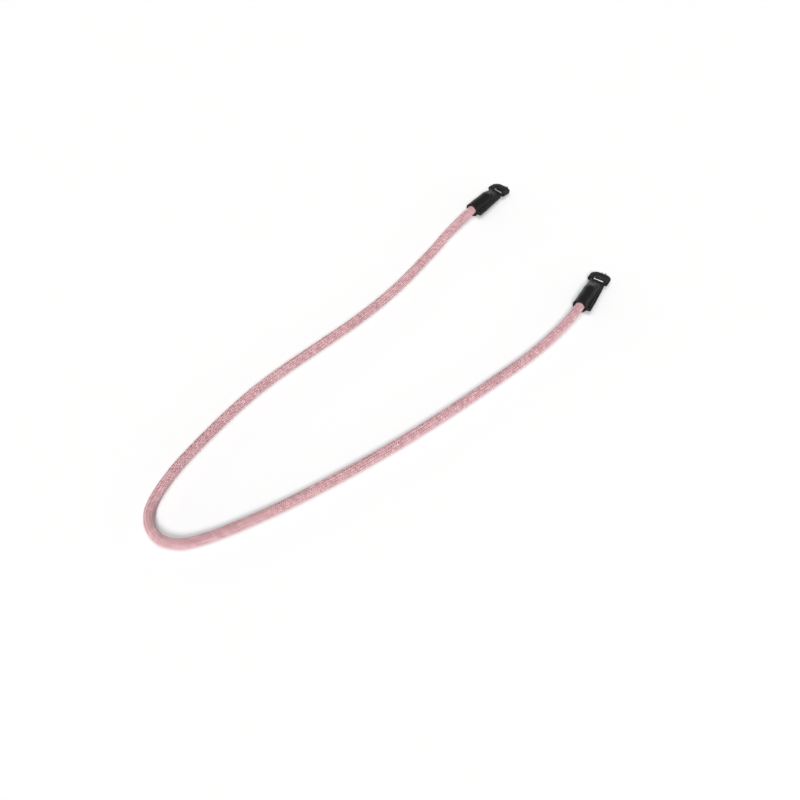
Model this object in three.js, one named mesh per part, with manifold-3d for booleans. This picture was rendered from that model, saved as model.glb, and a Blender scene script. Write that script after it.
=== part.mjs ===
// Camera neck strap: a round braided rope with a black leather sleeve, a leather ring guard and a
// steel triangle ring at each end, lying on a flat surface.
// Millimetres, +Z up. The origin is on the surface, under the middle of the two end fittings.
// +X runs from the left fitting to the right one, and +Y away from the loop's bend.
import * as THREE from 'three';
import { mergeVertices } from 'three/addons/utils/BufferGeometryUtils.js';
import Module from 'manifold-3d';

const wasm = await Module();
wasm.setup();

// Rope
const ROPE_DIAMETER = 9;
const ROPE_SIDES = 10;
const ROPE_STEPS = 76;
const ROPE_REST_HEIGHT = ROPE_DIAMETER / 2;

// Gap kept between pieces that touch
const SEAT_GAP = 0.3;

// Leather sleeve, along its own axis from the mouth outwards
const SLEEVE_WALL = 2.4;
const SLEEVE_BORE_RADIUS = ROPE_DIAMETER / 2 + SEAT_GAP;
const SLEEVE_RADIUS = SLEEVE_BORE_RADIUS + SLEEVE_WALL;
const SLEEVE_LENGTH = 39.4;
const ROPE_IN_SLEEVE = 26;
const FLANGE_HALF_THICKNESS = 1.8;
const FLANGE_EDGE_ROUND = 0.6;
const FOLD_SIDE_POINTS = 22;

// Leather ring guard, in the plane of its tab. The origin there is the middle of the ring's bar.
const GUARD_THICKNESS = 1.8;
const GUARD_HALF_WIDTH = 10.2;
const GUARD_ROOT = -6.3;
const GUARD_TIP = 9.2;
const GUARD_TIP_ROUND = 6.5;
const GUARD_ROOT_ROUND = 1.6;
const SLIT_HALF_SPACING = 5.5;
const SLIT_HALF_LENGTH = 4.4;
const BRIDGE_HALF_WIDTH = 5.2;
const BRIDGE_FLAT_HALF = 1.3;
const BRIDGE_OVERLAP = 0.8;
const TAIL_HALF_WIDTH = 4.7;
const TAIL_START = 32.5;
const TAIL_END = 41;

// Steel triangle ring
const WIRE_RADIUS = 0.9;
const WIRE_SIDES = 12;
const RING_HALF_BAR = 8;
const RING_REACH = 14.2;
const RING_CORNER_ROUND = 1.8;
const RING_NOSE_ROUND = 2.6;
const ARC_STEPS = 6;

// Where the fitting's tab lies
const BAR_FROM_MOUTH = 45.9;
const BAR_HEIGHT = 3.25;
const TAB_PITCH = Math.asin((BAR_HEIGHT - WIRE_RADIUS) / RING_REACH);
const SHEET_OFFSET = WIRE_RADIUS + SEAT_GAP;
const NECK_HEIGHT = BAR_HEIGHT
  + (SHEET_OFFSET + GUARD_THICKNESS / 2) * Math.cos(TAB_PITCH)
  - GUARD_ROOT * Math.sin(TAB_PITCH);

// Each fitting's mouth on the surface, and the heading of its axis from the mouth outwards
const FITTINGS = [
  { side: 'left', x: -81.9, y: -13.7, heading: 94 },
  { side: 'right', x: 84.9, y: -45.2, heading: 104 },
];

// The rope's route between the two mouths: x, y and the height of its middle
const ROUTE = [
  [-79.5, -34.2, 6.6],
  [-75.2, -61.2, 5.0],
  [-71.0, -78.2, ROPE_REST_HEIGHT],
  [-64.6, -108.2, ROPE_REST_HEIGHT],
  [-58.6, -140.2, ROPE_REST_HEIGHT],
  [-54.6, -175.2, ROPE_REST_HEIGHT],
  [-53.0, -215.2, ROPE_REST_HEIGHT],
  [-53.6, -256.2, ROPE_REST_HEIGHT],
  [-54.2, -296.2, ROPE_REST_HEIGHT],
  [-52.4, -334.2, ROPE_REST_HEIGHT],
  [-47.4, -370.2, ROPE_REST_HEIGHT],
  [-41.0, -403.2, ROPE_REST_HEIGHT],
  [-33.2, -434.2, ROPE_REST_HEIGHT],
  [-20.0, -464.8, ROPE_REST_HEIGHT],
  [-10.5, -475.6, ROPE_REST_HEIGHT],
  [2.4, -481.2, ROPE_REST_HEIGHT],
  [14.8, -480.5, ROPE_REST_HEIGHT],
  [27.2, -472.2, ROPE_REST_HEIGHT],
  [37.8, -453.0, ROPE_REST_HEIGHT],
  [47.4, -425.6, ROPE_REST_HEIGHT],
  [57.4, -389.6, ROPE_REST_HEIGHT],
  [67.0, -345.2, ROPE_REST_HEIGHT],
  [75.2, -299.2, ROPE_REST_HEIGHT],
  [81.6, -253.2, ROPE_REST_HEIGHT],
  [86.2, -207.2, ROPE_REST_HEIGHT],
  [89.4, -164.2, ROPE_REST_HEIGHT],
  [91.4, -124.2, ROPE_REST_HEIGHT],
  [90.8, -92.2, 5.2],
  [88.6, -66.2, 6.6],
];

// Sleeve sections: distance from the mouth, half width on the folded side, half height, how far the
// sewn flange reaches, how square the section is (2 is an ellipse), and how far the middle has dropped
const SLEEVE_OUTSIDE = [
  { at: 0, fold: SLEEVE_RADIUS, half: SLEEVE_RADIUS, flange: 11.0, square: 2, drop: 0 },
  { at: 12, fold: SLEEVE_RADIUS, half: SLEEVE_RADIUS, flange: 10.7, square: 2, drop: 0 },
  { at: 23.5, fold: SLEEVE_RADIUS, half: SLEEVE_RADIUS, flange: 10.2, square: 2, drop: 0 },
  { at: 27.5, fold: 7.15, half: 6.5, flange: 9.8, square: 2.1, drop: 0.15 },
  { at: 30.5, fold: 7.0, half: 5.0, flange: 9.3, square: 2.3, drop: 0.45 },
  { at: 33.5, fold: 6.85, half: 3.7, flange: 8.8, square: 2.6, drop: 0.8 },
  { at: 36.3, fold: 6.75, half: 3.15, flange: 8.4, square: 2.8, drop: 0.95 },
  { at: SLEEVE_LENGTH, fold: 6.65, half: 2.95, flange: 8.1, square: 3, drop: SLEEVE_RADIUS - NECK_HEIGHT },
];

// Sleeve hollow: distance from the mouth, half width, half height, squareness and drop
const TAIL_POCKET = { half: GUARD_THICKNESS / 2 + SEAT_GAP, width: TAIL_HALF_WIDTH + 1.5 * SEAT_GAP };
const SLEEVE_HOLLOW = [
  { at: 0, fold: SLEEVE_BORE_RADIUS, half: SLEEVE_BORE_RADIUS, square: 2, drop: 0 },
  { at: ROPE_IN_SLEEVE + SEAT_GAP, fold: SLEEVE_BORE_RADIUS, half: SLEEVE_BORE_RADIUS, square: 2, drop: 0 },
  { at: 29.5, fold: 5.2, half: 3.2, square: 2.4, drop: 0.5 },
  { at: 32.1, fold: TAIL_POCKET.width, half: TAIL_POCKET.half, square: 9, drop: SLEEVE_RADIUS - NECK_HEIGHT },
  { at: SLEEVE_LENGTH, fold: TAIL_POCKET.width, half: TAIL_POCKET.half, square: 9,
    drop: SLEEVE_RADIUS - NECK_HEIGHT },
];

const PINK_BRAID = new THREE.MeshStandardMaterial({ color: 0xdea6aa, roughness: 0.75, metalness: 0 });
const BLACK_LEATHER = new THREE.MeshStandardMaterial({ color: 0x18171a, roughness: 0.5, metalness: 0 });
const POLISHED_STEEL = new THREE.MeshStandardMaterial({ color: 0xc4c4c6, roughness: 0.2, metalness: 1 });

function indexedGeometry(points, triangles) {
  const geometry = new THREE.BufferGeometry();
  geometry.setAttribute('position', new THREE.Float32BufferAttribute(points.flat(), 3));
  geometry.setIndex(triangles.flat());
  geometry.computeVertexNormals();
  return geometry;
}

// Two triangles for each side of a band between two loops of points, given their first indices
function bandTriangles(first, second, count, outward) {
  const triangles = [];
  for (let i = 0; i < count; i += 1) {
    const j = (i + 1) % count;
    const [a, b, c, d] = [first + i, first + j, second + j, second + i];
    triangles.push(outward ? [a, b, c] : [a, c, b]);
    triangles.push(outward ? [a, c, d] : [a, d, c]);
  }
  return triangles;
}

// Joins and cuts with manifold-3d

function toSolid(geometry) {
  const bare = geometry.clone();
  bare.deleteAttribute('normal');
  bare.deleteAttribute('uv');
  const merged = mergeVertices(bare);
  return new wasm.Manifold(new wasm.Mesh({
    numProp: 3,
    vertProperties: new Float32Array(merged.attributes.position.array),
    triVerts: new Uint32Array(merged.index.array),
  }));
}

function toGeometry(solid) {
  const mesh = solid.getMesh();
  const geometry = new THREE.BufferGeometry();
  geometry.setAttribute('position', new THREE.Float32BufferAttribute(mesh.vertProperties, 3));
  geometry.setIndex(new THREE.Uint32BufferAttribute(mesh.triVerts, 1));
  geometry.computeVertexNormals();
  return geometry;
}

// Rope

function roundShape(radius, sides) {
  const corners = [];
  for (let i = 0; i < sides; i += 1) {
    const angle = (2 * Math.PI * (i + 0.5)) / sides;
    corners.push(new THREE.Vector2(radius * Math.cos(angle), radius * Math.sin(angle)));
  }
  return new THREE.Shape(corners);
}

// A point on a fitting's axis, a distance outwards from its mouth
function onAxis(fitting, distance) {
  const heading = THREE.MathUtils.degToRad(fitting.heading);
  const x = fitting.x + distance * Math.cos(heading);
  const y = fitting.y + distance * Math.sin(heading);
  return new THREE.Vector3(x, y, SLEEVE_RADIUS);
}

function ropeRoute() {
  const [left, right] = FITTINGS;
  const middle = ROUTE.map(([x, y, z]) => new THREE.Vector3(x, y, z));
  return new THREE.CatmullRomCurve3([
    onAxis(left, ROPE_IN_SLEEVE),
    onAxis(left, ROPE_IN_SLEEVE / 2),
    onAxis(left, 0),
    ...middle,
    onAxis(right, 0),
    onAxis(right, ROPE_IN_SLEEVE / 2),
    onAxis(right, ROPE_IN_SLEEVE),
  ], false, 'centripetal');
}

function makeRope() {
  const section = roundShape(ROPE_DIAMETER / 2, ROPE_SIDES);
  const geometry = new THREE.ExtrudeGeometry(section, { steps: ROPE_STEPS, extrudePath: ropeRoute() });
  const rope = new THREE.Mesh(geometry, PINK_BRAID);
  rope.name = 'rope';
  return rope;
}

// Sleeve

// One outside section, as y and z from its middle. The flange is on the -y side.
function outsideSection({ fold, half, flange, square }) {
  const power = 2 / square;
  const start = Math.asin((FLANGE_HALF_THICKNESS / half) ** (square / 2));
  const points = [];
  for (let i = 0; i < FOLD_SIDE_POINTS; i += 1) {
    const angle = start + ((2 * Math.PI - 2 * start) * i) / (FOLD_SIDE_POINTS - 1);
    const across = -fold * Math.sign(Math.cos(angle)) * Math.abs(Math.cos(angle)) ** power;
    const up = half * Math.sign(Math.sin(angle)) * Math.abs(Math.sin(angle)) ** power;
    points.push([across, up]);
  }
  const inner = FLANGE_HALF_THICKNESS - FLANGE_EDGE_ROUND;
  points.push([FLANGE_EDGE_ROUND - flange, -FLANGE_HALF_THICKNESS]);
  points.push([-flange, -inner]);
  points.push([-flange, inner]);
  points.push([FLANGE_EDGE_ROUND - flange, FLANGE_HALF_THICKNESS]);
  return points;
}

// The hollow's section, with a point in the direction of each outside point
function hollowSection({ fold, half, square }, outside) {
  return outside.map(([across, up]) => {
    const angle = Math.atan2(up, across);
    const side = Math.abs(Math.cos(angle) / fold) ** square;
    const top = Math.abs(Math.sin(angle) / half) ** square;
    const reach = (side + top) ** (-1 / square);
    return [reach * Math.cos(angle), reach * Math.sin(angle)];
  });
}

function makeSleeveGeometry() {
  const outside = SLEEVE_OUTSIDE.map(outsideSection);
  const mouth = outside[0];
  const neck = outside[outside.length - 1];
  const hollow = SLEEVE_HOLLOW.map((s, i) => hollowSection(s, i < 2 ? mouth : neck));
  const count = mouth.length;
  const points = [];
  const place = (section, { at, drop }) => {
    section.forEach(([across, up]) => points.push([at, across, up - drop]));
  };
  outside.forEach((section, i) => place(section, SLEEVE_OUTSIDE[i]));
  hollow.forEach((section, i) => place(section, SLEEVE_HOLLOW[i]));
  const triangles = [];
  const hollowStart = outside.length * count;
  for (let i = 0; i + 1 < outside.length; i += 1) {
    triangles.push(...bandTriangles(i * count, (i + 1) * count, count, false));
  }
  for (let i = 0; i + 1 < hollow.length; i += 1) {
    const first = hollowStart + i * count;
    triangles.push(...bandTriangles(first, first + count, count, true));
  }
  const lastHollow = hollowStart + (hollow.length - 1) * count;
  triangles.push(...bandTriangles(0, hollowStart, count, true));
  triangles.push(...bandTriangles((outside.length - 1) * count, lastHollow, count, false));
  return indexedGeometry(points, triangles);
}

// Ring, in the tab's plane

// The ring's centreline: a triangle with rounded corners, its bar along y at x = 0
function ringLine() {
  const corners = [
    { x: 0, y: -RING_HALF_BAR - RING_CORNER_ROUND, round: RING_CORNER_ROUND },
    { x: RING_REACH + RING_NOSE_ROUND, y: 0, round: RING_NOSE_ROUND },
    { x: 0, y: RING_HALF_BAR + RING_CORNER_ROUND, round: RING_CORNER_ROUND },
  ];
  const points = [];
  corners.forEach((corner, i) => {
    const here = new THREE.Vector2(corner.x, corner.y);
    const before = corners[(i + 2) % 3];
    const after = corners[(i + 1) % 3];
    const back = new THREE.Vector2(before.x, before.y).sub(here).normalize();
    const on = new THREE.Vector2(after.x, after.y).sub(here).normalize();
    const halfAngle = Math.acos(back.dot(on)) / 2;
    const middle = back.clone().add(on).normalize().multiplyScalar(corner.round / Math.sin(halfAngle));
    const centre = here.clone().add(middle);
    const from = here.clone().addScaledVector(back, corner.round / Math.tan(halfAngle)).sub(centre);
    const turn = Math.PI - 2 * halfAngle;
    for (let k = 0; k <= ARC_STEPS; k += 1) {
      const spoke = from.clone().rotateAround(new THREE.Vector2(), (turn * k) / ARC_STEPS);
      points.push(centre.clone().add(spoke));
    }
  });
  return points;
}

// A round wire bent along the ring's centreline
function makeWire(radius) {
  const line = ringLine();
  const points = [];
  line.forEach((here, i) => {
    const next = line[(i + 1) % line.length];
    const last = line[(i + line.length - 1) % line.length];
    const along = next.clone().sub(last).normalize();
    for (let k = 0; k < WIRE_SIDES; k += 1) {
      const angle = (2 * Math.PI * k) / WIRE_SIDES;
      const out = radius * Math.cos(angle);
      points.push([here.x + along.y * out, here.y - along.x * out, radius * Math.sin(angle)]);
    }
  });
  const triangles = [];
  line.forEach((_, i) => {
    const next = (i + 1) % line.length;
    triangles.push(...bandTriangles(i * WIRE_SIDES, next * WIRE_SIDES, WIRE_SIDES, false));
  });
  return indexedGeometry(points, triangles);
}

// Ring guard

function tabOutline() {
  const [w, r, t] = [GUARD_HALF_WIDTH, GUARD_TIP_ROUND, GUARD_ROOT_ROUND];
  const shape = new THREE.Shape();
  shape.moveTo(GUARD_ROOT + t, -w);
  shape.lineTo(GUARD_TIP - r, -w);
  shape.absarc(GUARD_TIP - r, r - w, r, -Math.PI / 2, 0, false);
  shape.lineTo(GUARD_TIP, w - r);
  shape.absarc(GUARD_TIP - r, w - r, r, 0, Math.PI / 2, false);
  shape.lineTo(GUARD_ROOT + t, w);
  shape.absarc(GUARD_ROOT + t, w - t, t, Math.PI / 2, Math.PI, false);
  shape.lineTo(GUARD_ROOT, t - w);
  shape.absarc(GUARD_ROOT + t, t - w, t, Math.PI, 1.5 * Math.PI, false);
  const window = new THREE.Path();
  window.moveTo(-SLIT_HALF_LENGTH, -SLIT_HALF_SPACING);
  window.lineTo(-SLIT_HALF_LENGTH, SLIT_HALF_SPACING);
  window.lineTo(SLIT_HALF_LENGTH, SLIT_HALF_SPACING);
  window.lineTo(SLIT_HALF_LENGTH, -SLIT_HALF_SPACING);
  shape.holes.push(window);
  return shape;
}

// The leather between the slits, seen from the side: it dips under the ring's bar
function bridgeOutline() {
  const high = SHEET_OFFSET;
  const low = -SHEET_OFFSET - GUARD_THICKNESS;
  const end = SLIT_HALF_LENGTH + BRIDGE_OVERLAP;
  const edge = SLIT_HALF_LENGTH;
  const flat = BRIDGE_FLAT_HALF;
  const underside = [[-end, high], [-edge, high], [-flat, low], [flat, low], [edge, high], [end, high]];
  const outline = underside.map(([x, z]) => new THREE.Vector2(x, z));
  underside.reverse().forEach(([x, z]) => outline.push(new THREE.Vector2(x, z + GUARD_THICKNESS)));
  return new THREE.Shape(outline);
}

function makeGuardGeometry(fromTab) {
  const flat = { depth: GUARD_THICKNESS, bevelEnabled: false, curveSegments: 8 };
  const tab = new THREE.ExtrudeGeometry(tabOutline(), flat);
  tab.translate(0, 0, SHEET_OFFSET);
  const bridge = new THREE.ExtrudeGeometry(bridgeOutline(), { depth: 2 * BRIDGE_HALF_WIDTH, bevelEnabled: false });
  bridge.rotateX(Math.PI / 2);
  bridge.translate(0, BRIDGE_HALF_WIDTH, 0);
  const clearance = makeWire(WIRE_RADIUS + SEAT_GAP);
  [tab, bridge, clearance].forEach((g) => g.applyMatrix4(fromTab));
  const tail = new THREE.BoxGeometry(TAIL_END - TAIL_START, 2 * TAIL_HALF_WIDTH, GUARD_THICKNESS);
  tail.translate((TAIL_START + TAIL_END) / 2, 0, NECK_HEIGHT - SLEEVE_RADIUS);
  const leather = toSolid(tab).add(toSolid(bridge)).subtract(toSolid(clearance)).add(toSolid(tail));
  return toGeometry(leather);
}

// Fitting: sleeve, guard and ring on the sleeve's axis, which lies along +x with its mouth at 0

function makeFitting({ side, x, y, heading }) {
  const fromTab = new THREE.Matrix4().makeRotationY(TAB_PITCH);
  fromTab.setPosition(BAR_FROM_MOUTH, 0, BAR_HEIGHT - SLEEVE_RADIUS);
  const sleeve = new THREE.Mesh(makeSleeveGeometry(), BLACK_LEATHER);
  sleeve.name = `${side}_sleeve`;
  const guard = new THREE.Mesh(makeGuardGeometry(fromTab), BLACK_LEATHER);
  guard.name = `${side}_ring_guard`;
  const ring = new THREE.Mesh(makeWire(WIRE_RADIUS), POLISHED_STEEL);
  ring.name = `${side}_ring`;
  ring.applyMatrix4(fromTab);
  const fitting = new THREE.Group();
  fitting.add(sleeve, guard, ring);
  fitting.position.set(x, y, SLEEVE_RADIUS);
  fitting.rotation.z = THREE.MathUtils.degToRad(heading);
  return fitting;
}

const strap = new THREE.Group();
strap.add(makeRope());
FITTINGS.forEach((fitting) => strap.add(makeFitting(fitting)));

export default strap;
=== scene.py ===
"""Camera neck strap: a round braided rope that lies in an open loop, with a folded and sewn leather
sleeve, a leather ring guard and a steel triangle ring at each end. Lengths are in metres."""

import math

import bpy
import numpy as np
from bpy.props import FloatProperty, FloatVectorProperty, IntProperty, PointerProperty
from mathutils import Matrix, Vector


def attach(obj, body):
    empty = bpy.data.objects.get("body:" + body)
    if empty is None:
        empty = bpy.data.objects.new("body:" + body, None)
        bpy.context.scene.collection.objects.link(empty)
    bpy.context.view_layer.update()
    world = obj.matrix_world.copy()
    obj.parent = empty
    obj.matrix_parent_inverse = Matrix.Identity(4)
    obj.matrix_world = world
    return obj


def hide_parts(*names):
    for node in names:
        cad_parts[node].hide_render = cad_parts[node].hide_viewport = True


bl_info = {
    "name": "Rope Camera Strap",
    "version": (1, 0, 0),
    "blender": (4, 5, 0),
    "location": "3D View > Sidebar > Rope Strap",
    "description": "Builds a braided rope neck strap with leather and steel end fittings",
    "category": "Add Mesh",
}

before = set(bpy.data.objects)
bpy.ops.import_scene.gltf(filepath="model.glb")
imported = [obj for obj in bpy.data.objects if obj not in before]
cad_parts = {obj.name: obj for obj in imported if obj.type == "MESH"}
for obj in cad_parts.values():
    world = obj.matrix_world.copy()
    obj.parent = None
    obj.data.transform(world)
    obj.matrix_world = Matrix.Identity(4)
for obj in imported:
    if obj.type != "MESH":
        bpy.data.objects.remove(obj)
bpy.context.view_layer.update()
MM = 0.001
BODY = "root"

# Each fitting's mouth on the surface in millimetres, and the heading of its axis in degrees
FITTINGS = {
    "left": {"x": -81.9, "y": -13.7, "heading": 94},
    "right": {"x": 84.9, "y": -45.2, "heading": 104},
}

# The rope's route between the two mouths in millimetres: x, y and the height of its middle
REST = 4.5
ROUTE = [
    (-79.5, -34.2, 6.6),
    (-75.2, -61.2, 5.0),
    (-71.0, -78.2, REST),
    (-64.6, -108.2, REST),
    (-58.6, -140.2, REST),
    (-54.6, -175.2, REST),
    (-53.0, -215.2, REST),
    (-53.6, -256.2, REST),
    (-54.2, -296.2, REST),
    (-52.4, -334.2, REST),
    (-47.4, -370.2, REST),
    (-41.0, -403.2, REST),
    (-33.2, -434.2, REST),
    (-20.0, -464.8, REST),
    (-10.5, -475.6, REST),
    (2.4, -481.2, REST),
    (14.8, -480.5, REST),
    (27.2, -472.2, REST),
    (37.8, -453.0, REST),
    (47.4, -425.6, REST),
    (57.4, -389.6, REST),
    (67.0, -345.2, REST),
    (75.2, -299.2, REST),
    (81.6, -253.2, REST),
    (86.2, -207.2, REST),
    (89.4, -164.2, REST),
    (91.4, -124.2, REST),
    (90.8, -92.2, 5.2),
    (88.6, -66.2, 6.6),
]


# Sizes and colours that a user would change


def metres(name, description, default):
    return FloatProperty(name=name, description=description, default=default, unit="LENGTH")


def radians(name, description, default):
    return FloatProperty(name=name, description=description, default=default, unit="ROTATION")


def paint(name, description, default):
    return FloatVectorProperty(name=name, description=description, default=default, subtype="COLOR")


class RopeSizes(bpy.types.PropertyGroup):
    diameter: metres("Diameter", "Thickness over the braid", 0.009)
    core_radius: metres("Core radius", "Under the braid", 0.0037)
    in_sleeve: metres("Length in a sleeve", "Rope hidden in each sleeve", 0.026)
    braid_in_sleeve: metres("Braid in a sleeve", "Braid strands behind each mouth", 0.004)
    columns: IntProperty(name="Columns", description="Columns of floats round it", default=16, min=4)
    float_length: metres("Float length", "Of one strand's float", 0.00335)
    float_width: metres("Float width", "Of one strand's float", 0.00126)
    float_thickness: metres("Float thickness", "Of one strand's float", 0.00098)
    pink: paint("Yarn", "Colour of the yarn", (0.695, 0.392, 0.425))
    # Painted light: the pale yarn is a painted highlight on the floats' crowns, and the deep yarn is
    # painted shade in the gaps and on the core
    pale_pink: paint("Pale yarn", "Yarn where it catches the light", (0.87, 0.62, 0.65))
    deep_pink: paint("Deep yarn", "Yarn down in the gaps", (0.170, 0.040, 0.050))


class SleeveSizes(bpy.types.PropertyGroup):
    length: metres("Length", "From the mouth to the neck", 0.0394)
    radius: metres("Radius", "Outside radius at the mouth", 0.0072)
    wall: metres("Wall", "Thickness round the rope", 0.0024)
    narrow_start: metres("Narrowing starts", "Where the tube starts to narrow", 0.0225)
    narrow_end: metres("Narrowing ends", "Where the flat neck starts", 0.038)
    neck_half_height: metres("Neck half height", "Half height of the flat neck", 0.00295)
    neck_half_width: metres("Neck half width", "Folded side of the flat neck", 0.00665)
    flange_half: metres("Flange half thickness", "One layer of the sewn flange", 0.0018)
    flange_mouth: metres("Flange at the mouth", "From the axis, at the mouth", 0.0110)
    flange_neck: metres("Flange at the neck", "From the axis, at the neck", 0.0081)
    stitch_pitch: metres("Stitch pitch", "From one stitch to the next", 0.0031)
    stitch_inset: metres("Stitch inset", "From the flange's edge", 0.0017)


class GuardSizes(bpy.types.PropertyGroup):
    thickness: metres("Thickness", "Of the leather", 0.0018)
    half_width: metres("Half width", "Of the tab", 0.0102)
    tail: metres("Tail", "Where the tail ends in the sleeve", -0.0134)
    root: metres("Root", "Where the tab starts", -0.0063)
    tip: metres("Tip", "Where the tab ends", 0.0092)
    tip_round: metres("Tip round", "Radius of its outer corners", 0.0065)
    root_round: metres("Root round", "Radius of its inner corners", 0.0016)
    tail_half: metres("Tail half width", "In the sleeve's neck", 0.0047)
    slit_in: metres("Slit inside", "The bridge's half width", 0.0052)
    slit_out: metres("Slit outside", "Outer side of each slit", 0.0055)
    slit_half: metres("Slit half length", "Along the tab", 0.0044)
    bridge_flat: metres("Bridge flat", "Half its flat under the bar", 0.0011)


class RingSizes(bpy.types.PropertyGroup):
    wire_radius: metres("Wire radius", "Of the steel wire", 0.0009)
    half_bar: metres("Half bar", "Straight half of the bar", 0.008)
    reach: metres("Reach", "From the bar to the nose", 0.0142)
    corner_round: metres("Corner round", "At the bar's ends", 0.0018)
    nose_round: metres("Nose round", "At the free corner", 0.0026)
    gap: metres("Gap", "Between the ring and the leather", 0.0003)
    bar_from_mouth: metres("Bar from mouth", "Along the sleeve's axis", 0.0459)
    bar_height: metres("Bar height", "Over the surface", 0.00325)


class StageSizes(bpy.types.PropertyGroup):
    camera_place: FloatVectorProperty(
        name="Camera",
        description="Where the camera stands",
        default=(0.4635, -0.6640, 0.7100),
        subtype="TRANSLATION",
    )
    camera_down: radians("Looking down", "Camera's angle below level", math.radians(50))
    camera_turn: radians("Turn", "Camera's turn to the left", math.radians(45))
    lens: FloatProperty(name="Lens", description="Focal length in millimetres", default=47.2)
    floor_half: metres("Floor", "Half side of the floor", 6.0)
    paper: paint("Paper", "Colour of the floor", (0.86, 0.86, 0.86))


# Shader maths


class Value:
    """A number that varies over a surface. Sums written on it add Math nodes."""

    def __init__(self, look, socket):
        self.look = look
        self.socket = socket

    def math(self, operation, *terms):
        node = self.look.node("ShaderNodeMath", {"operation": operation}, dict(enumerate(terms)))
        return Value(self.look, node.outputs[0])

    def __add__(self, other):
        return self.math("ADD", self, other)

    def __radd__(self, other):
        return self.math("ADD", other, self)

    def __sub__(self, other):
        return self.math("SUBTRACT", self, other)

    def __rsub__(self, other):
        return self.math("SUBTRACT", other, self)

    def __mul__(self, other):
        return self.math("MULTIPLY", self, other)

    def __rmul__(self, other):
        return self.math("MULTIPLY", other, self)

    def __abs__(self):
        return self.math("ABSOLUTE", self)

    def fraction(self):
        return self.math("FRACT", self)

    def whole(self):
        return self.math("FLOOR", self)

    def sine(self):
        return self.math("SINE", self)

    def ramp(self, low, high):
        """0 at low and 1 at high, smooth between them."""
        sockets = {"Value": self, "From Min": low, "From Max": high}
        node = self.look.node("ShaderNodeMapRange", {"interpolation_type": "SMOOTHSTEP"}, sockets)
        return Value(self.look, node.outputs["Result"])


class Nodes:
    """Adds nodes to the emptied node tree of a material or a world."""

    def __init__(self, owner):
        owner.use_nodes = True
        self.tree = owner.node_tree
        self.tree.nodes.clear()

    def node(self, kind, settings, sockets):
        """Adds a node: its settings first, then its sockets, each a value or a link."""
        node = self.tree.nodes.new(kind)
        for name, setting in settings.items():
            setattr(node, name, setting)
        for place, given in sockets.items():
            self.feed(node.inputs[place], given)
        return node

    def feed(self, socket, given):
        if isinstance(given, Value):
            given = given.socket
        if isinstance(given, bpy.types.NodeSocket):
            self.tree.links.new(given, socket)
        else:
            socket.default_value = given


class Look(Nodes):
    """A procedural material, with one shader and the nodes that feed it."""

    def __init__(self, name, constants):
        self.material = bpy.data.materials.new(name)
        super().__init__(self.material)
        self.shader = self.node("ShaderNodeBsdfPrincipled", {}, constants)
        self.node("ShaderNodeOutputMaterial", {}, {"Surface": self.shader.outputs[0]})

    def shade(self, **sockets):
        for name, given in sockets.items():
            self.feed(self.shader.inputs[name.replace("_", " ")], given)

    def places(self):
        """Points on the piece, in the row frame."""
        return self.node("ShaderNodeTexCoord", {}, {}).outputs["Object"]

    def map_axes(self, name):
        """The two numbers of the piece's own map."""
        uv = self.node("ShaderNodeUVMap", {"uv_map": name}, {})
        split = self.node("ShaderNodeSeparateXYZ", {}, {0: uv.outputs[0]})
        return Value(self, split.outputs[0]), Value(self, split.outputs[1])

    def noise(self, vector, scale, detail=2.0, roughness=0.5, distortion=0.0):
        sockets = {"Vector": vector, "Scale": scale, "Detail": detail, "Roughness": roughness}
        node = self.node("ShaderNodeTexNoise", {}, {**sockets, "Distortion": distortion})
        return Value(self, node.outputs[0])

    def cells(self, vector, scale, feature="F1", jitter=1.0):
        sockets = {"Vector": vector, "Scale": scale, "Randomness": jitter}
        node = self.node("ShaderNodeTexVoronoi", {"feature": feature}, sockets)
        return Value(self, node.outputs["Distance"])

    def chance(self, value):
        """A fixed random number from 0 to 1 for each whole value."""
        node = self.node("ShaderNodeTexWhiteNoise", {"noise_dimensions": "1D"}, {"W": value})
        return Value(self, node.outputs["Value"])

    def veins(self, vector, width, **noise):
        """1 along the thin lines where a noise passes its middle value, 0 away from them."""
        return 1 - abs(self.noise(vector, **noise) * 2 - 1).ramp(0.0, width)

    def mix(self, factor, first, second):
        node = self.node("ShaderNodeMix", {"data_type": "RGBA"}, {0: factor, 6: first, 7: second})
        return node.outputs[2]

    def bump(self, height, strength, distance):
        sockets = {"Strength": strength, "Distance": distance, "Height": height}
        return self.node("ShaderNodeBump", {}, sockets).outputs[0]


# Finishes


def colour(values):
    """The colour with full opacity, as a shader's socket takes it."""
    return (*values, 1.0)


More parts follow.
